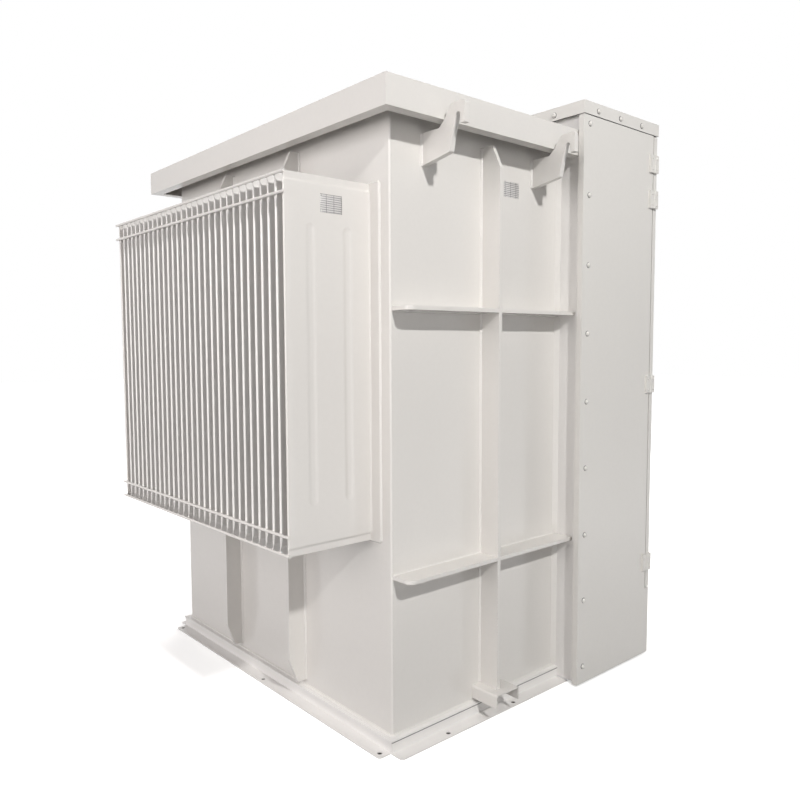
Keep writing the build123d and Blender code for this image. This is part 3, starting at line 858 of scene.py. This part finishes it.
class TRANSFORMER_OT_door_handle(Operator):
    """Shape the swing handle and its lock on the right door"""
    bl_idname = "transformer.door_handle"
    bl_label = "Door Handle"

    plate = 0.006
    plate_round = 0.0028
    pivot_up = 0.095
    lock_up = 0.052
    screw_inset = 0.012
    screw_head = 0.009
    boss = ((0.0165, -ROOT), (0.0165, 0.004), (0.0140, 0.006), (0.0140, 0.017), (0.0120, 0.019),
            (0.0040, 0.0192))
    lock = ((0.010, -ROOT), (0.010, 0.003), (0.0085, 0.0045), (0.0035, 0.0045), (0.0030, 0.0015),
            (0.0010, 0.0015))
    lever_top = 0.014
    lever_length = 0.130
    lever_half = (0.011, 0.006)
    lever_taper = (0.30, 0.15)
    lever_end = 0.6
    lever_bow = 0.0015
    lever_steps = 14
    squareness = 0.55

    def execute(self, context):
        box_low, box_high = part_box("door_handle")
        middle_x = (box_low.x + box_high.x) / 2
        plate_y = DOOR_FACE_Y - self.plate
        mesh = bmesh.new()
        bar(mesh, (box_low.x, plate_y, box_low.z), (box_high.x, DOOR_FACE_Y + 0.0003, box_high.z),
            self.plate_round)
        handle = piece("handle_plate", mesh, DOORS[1], "plated steel")
        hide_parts("door_handle")

        pivot_z = box_low.z + self.pivot_up
        metal = bmesh.new()
        turned(metal, self.boss, (middle_x, plate_y, pivot_z), FRONT, 28)
        copy_into(metal, self.lever(middle_x, box_low.y, pivot_z))
        for z in (box_low.z + self.screw_inset, box_high.z - self.screw_inset):
            dome_screw(metal, (middle_x, plate_y, z), FRONT, self.screw_head, 16)
        turned(metal, self.lock, (middle_x, plate_y, pivot_z + self.lock_up), FRONT, 24)
        piece("handle_lever_and_lock", metal, DOORS[1], "plated steel")
        return {"FINISHED"}

    def lever(self, middle_x, tip_y, pivot_z):
        """The swing lever: a squarish bar that tapers downwards, with softened ends."""
        part = bmesh.new()
        rings = []
        for i in range(self.lever_steps + 1):
            share = i / self.lever_steps
            end = 1 if 0 < i < self.lever_steps else self.lever_end
            half, depth = (size * (1 - taper * share) * end
                           for size, taper in zip(self.lever_half, self.lever_taper))
            centre_y = tip_y + self.lever_half[1] + self.lever_bow * math.sin(math.pi * share)
            z = pivot_z + self.lever_top - self.lever_length * share
            rings.append([part.verts.new((middle_x + half * self.squarish(math.cos(a)),
                                          centre_y + depth * self.squarish(math.sin(a)), z))
                          for a in circle(24)])
        join_rings(part, rings)
        return part

    def squarish(self, value):
        """Push a sine or cosine towards 1, so that a circle turns into a rounded square."""
        return math.copysign(abs(value) ** self.squareness, value)


class TRANSFORMER_OT_stage(Operator):
    """Set the camera, the lamps, the floor and the backdrop"""
    bl_idname = "transformer.stage"
    bl_label = "Stage"

    # The camera, in metres, radians, millimetres of sensor and pixels of the square picture
    picture = 800
    sensor = 36
    place = (-2.6933, 2.2167, 1.4212)
    yaw, pitch, roll = 0.70009, -0.07418, -0.00609
    focus = 746.26
    centre = (379.41, 401.73)
    key_place = (-5.87, 1.63, 5.20)
    rear_place = (-0.6, 5.6, 2.6)
    front_place = (4.3, -4.9, 3.0)
    fill_target = (0, 0, 1.2)
    fill_size = 4.0
    key_colour = (1.0, 0.985, 0.965)
    fill_colour = (1.0, 0.955, 0.945)
    sky_colour = (1.0, 0.992, 0.985)
    horizon = 0.35
    floor_half = 30
    # The floor's own light near the transformer and away from it, and the two distances in metres
    lift = (0.45, 1.0)
    lift_reach = (1.3, 4.2)

    def execute(self, context):
        self.make_camera(context)
        settings = context.scene.transformer_stage
        context.scene.view_settings.view_transform = "Standard"
        self.make_world(context, settings)
        key = self.lamp(context, "key_lamp", "POINT", self.key_place, settings.key, self.key_colour)
        key.data.shadow_soft_size = settings.key_size
        for name, place, power in (("rear_fill", self.rear_place, settings.rear),
                                   ("front_fill", self.front_place, settings.front)):
            fill = self.lamp(context, name, "AREA", place, power, self.fill_colour)
            fill.data.shape = "SQUARE"
            fill.data.size = self.fill_size
            aim = Vector(self.fill_target) - fill.location
            fill.rotation_euler = aim.to_track_quat("-Z", "Y").to_euler()
        self.make_floor(context, settings)
        return {"FINISHED"}

    def make_camera(self, context):
        forward = Vector((math.cos(self.yaw) * math.cos(self.pitch),
                          -math.sin(self.yaw) * math.cos(self.pitch), math.sin(self.pitch)))
        right = Vector((-math.sin(self.yaw), -math.cos(self.yaw), 0))
        up = right.cross(forward)
        turned_right = right * math.cos(self.roll) + up * math.sin(self.roll)
        turned_up = up * math.cos(self.roll) - right * math.sin(self.roll)
        data = bpy.data.cameras.new("camera")
        data.sensor_width = self.sensor
        data.lens = self.focus / self.picture * self.sensor
        data.shift_x = 0.5 - self.centre[0] / self.picture
        data.shift_y = self.centre[1] / self.picture - 0.5
        camera = bpy.data.objects.new("camera", data)
        context.scene.collection.objects.link(camera)
        rotation = Matrix((turned_right, turned_up, -forward)).transposed().to_4x4()
        camera.matrix_world = Matrix.Translation(self.place) @ rotation
        context.scene.camera = camera

    def lamp(self, context, name, kind, place, power, colour):
        data = bpy.data.lights.new(name, kind)
        data.energy = power
        data.color = colour
        made = bpy.data.objects.new(name, data)
        made.location = place
        context.scene.collection.objects.link(made)
        return made

    def ramp(self, tree, source, reach, levels):
        """A smooth step of a value from one level to another."""
        made = tree.nodes.new("ShaderNodeMapRange")
        made.interpolation_type = "SMOOTHSTEP"
        for name, value in zip(("From Min", "From Max", "To Min", "To Max"), (*reach, *levels)):
            made.inputs[name].default_value = value
        tree.links.new(source, made.inputs["Value"])
        return made.outputs["Result"]

    def seen_directly(self, tree):
        """1 for rays that show the background itself: from the camera, off gloss or through glass."""
        rays = tree.nodes.new("ShaderNodeLightPath")
        total = rays.outputs["Is Camera Ray"]
        for name in ("Is Glossy Ray", "Is Transmission Ray"):
            most = tree.nodes.new("ShaderNodeMath")
            most.operation = "MAXIMUM"
            tree.links.new(total, most.inputs[0])
            tree.links.new(rays.outputs[name], most.inputs[1])
            total = most.outputs[0]
        return total

    def make_world(self, context, settings):
        world = bpy.data.worlds.new("studio")
        context.scene.world = world
        world.use_nodes = True
        tree = world.node_tree
        tree.nodes.clear()
        direction = tree.nodes.new("ShaderNodeTexCoord")
        parts = tree.nodes.new("ShaderNodeSeparateXYZ")
        tree.links.new(direction.outputs["Generated"], parts.inputs["Vector"])
        level = self.ramp(tree, parts.outputs["Z"], (-self.horizon, self.horizon),
                          (settings.ground, settings.sky))
        room = tree.nodes.new("ShaderNodeBackground")
        room.inputs["Color"].default_value = (*self.sky_colour, 1)
        tree.links.new(level, room.inputs["Strength"])
        backdrop = tree.nodes.new("ShaderNodeBackground")
        backdrop.inputs["Color"].default_value = (1, 1, 1, 1)
        mixed = tree.nodes.new("ShaderNodeMixShader")
        tree.links.new(self.seen_directly(tree), mixed.inputs[0])
        tree.links.new(room.outputs[0], mixed.inputs[1])
        tree.links.new(backdrop.outputs[0], mixed.inputs[2])
        output = tree.nodes.new("ShaderNodeOutputWorld")
        tree.links.new(mixed.outputs[0], output.inputs["Surface"])

    def paler_with_distance(self, tree):
        """The floor's own light: little under the transformer, full white a few metres away."""
        place = tree.nodes.new("ShaderNodeTexCoord")
        distance = tree.nodes.new("ShaderNodeVectorMath")
        distance.operation = "LENGTH"
        tree.links.new(place.outputs["Object"], distance.inputs[0])
        return self.ramp(tree, distance.outputs["Value"], self.lift_reach, self.lift)

    def make_floor(self, context, settings):
        mesh = bmesh.new()
        bmesh.ops.create_grid(mesh, x_segments=2, y_segments=2, size=self.floor_half)
        data = bpy.data.meshes.new("studio_floor")
        mesh.to_mesh(data)
        mesh.free()
        floor = bpy.data.objects.new("studio_floor", data)
        context.scene.collection.objects.link(floor)
        material = bpy.data.materials.new("studio floor")
        material.use_nodes = True
        tree = material.node_tree
        tree.nodes.clear()
        bounce = tree.nodes.new("ShaderNodeBsdfDiffuse")
        bounce.inputs["Color"].default_value = (settings.floor_bounce,) * 3 + (1,)
        seen = tree.nodes.new("ShaderNodeBsdfDiffuse")
        seen.inputs["Color"].default_value = (1, 1, 1, 1)
        lift = tree.nodes.new("ShaderNodeEmission")
        lift.inputs["Color"].default_value = (1, 1, 1, 1)
        tree.links.new(self.paler_with_distance(tree), lift.inputs["Strength"])
        pale = tree.nodes.new("ShaderNodeAddShader")
        tree.links.new(seen.outputs[0], pale.inputs[0])
        tree.links.new(lift.outputs[0], pale.inputs[1])
        mixed = tree.nodes.new("ShaderNodeMixShader")
        tree.links.new(self.seen_directly(tree), mixed.inputs[0])
        tree.links.new(bounce.outputs[0], mixed.inputs[1])
        tree.links.new(pale.outputs[0], mixed.inputs[2])
        output = tree.nodes.new("ShaderNodeOutputMaterial")
        tree.links.new(mixed.outputs[0], output.inputs["Surface"])
        data.materials.append(material)


class TRANSFORMER_PT_sidebar(Panel):
    """The transformer's pieces and their sizes"""
    bl_idname = "TRANSFORMER_PT_sidebar"
    bl_label = "Transformer"
    bl_space_type = "VIEW_3D"
    bl_region_type = "UI"
    bl_category = "Transformer"

    def draw(self, context):
        for title, group, _ in GROUPS:
            box = self.layout.box()
            box.label(text=title)
            settings = getattr(context.scene, group)
            for name in settings.bl_rna.properties.keys():
                if name not in ("rna_type", "name"):
                    box.prop(settings, name)
        for operator in PIECES:
            self.layout.operator(operator.bl_idname)


GROUPS = (
    ("Paint", "transformer_paint", PaintSettings),
    ("Welds", "transformer_welds", WeldSettings),
    ("Screws", "transformer_fasteners", FastenerSettings),
    ("Labels", "transformer_labels", LabelSettings),
    ("Stage", "transformer_stage", StageSettings),
)
PIECES = (
    TRANSFORMER_OT_stage,
    TRANSFORMER_OT_enamel,
    TRANSFORMER_OT_wall_welds,
    TRANSFORMER_OT_end_fins,
    TRANSFORMER_OT_rod_welds,
    TRANSFORMER_OT_cabinet_screws,
    TRANSFORMER_OT_seals,
    TRANSFORMER_OT_door_stops,
    TRANSFORMER_OT_labels,
    TRANSFORMER_OT_anchor_holes,
    TRANSFORMER_OT_door_handle,
)


def register():
    for _, name, group in GROUPS:
        bpy.utils.register_class(group)
        setattr(bpy.types.Scene, name, PointerProperty(type=group))
    for operator in PIECES:
        bpy.utils.register_class(operator)
    bpy.utils.register_class(TRANSFORMER_PT_sidebar)


def unregister():
    bpy.utils.unregister_class(TRANSFORMER_PT_sidebar)
    for operator in reversed(PIECES):
        bpy.utils.unregister_class(operator)
    for _, name, group in reversed(GROUPS):
        delattr(bpy.types.Scene, name)
        bpy.utils.unregister_class(group)


def main():
    register()
    for operator in PIECES:
        group, name = operator.bl_idname.split(".")
        getattr(getattr(bpy.ops, group), name)()


if __name__ == "__main__":
    main()
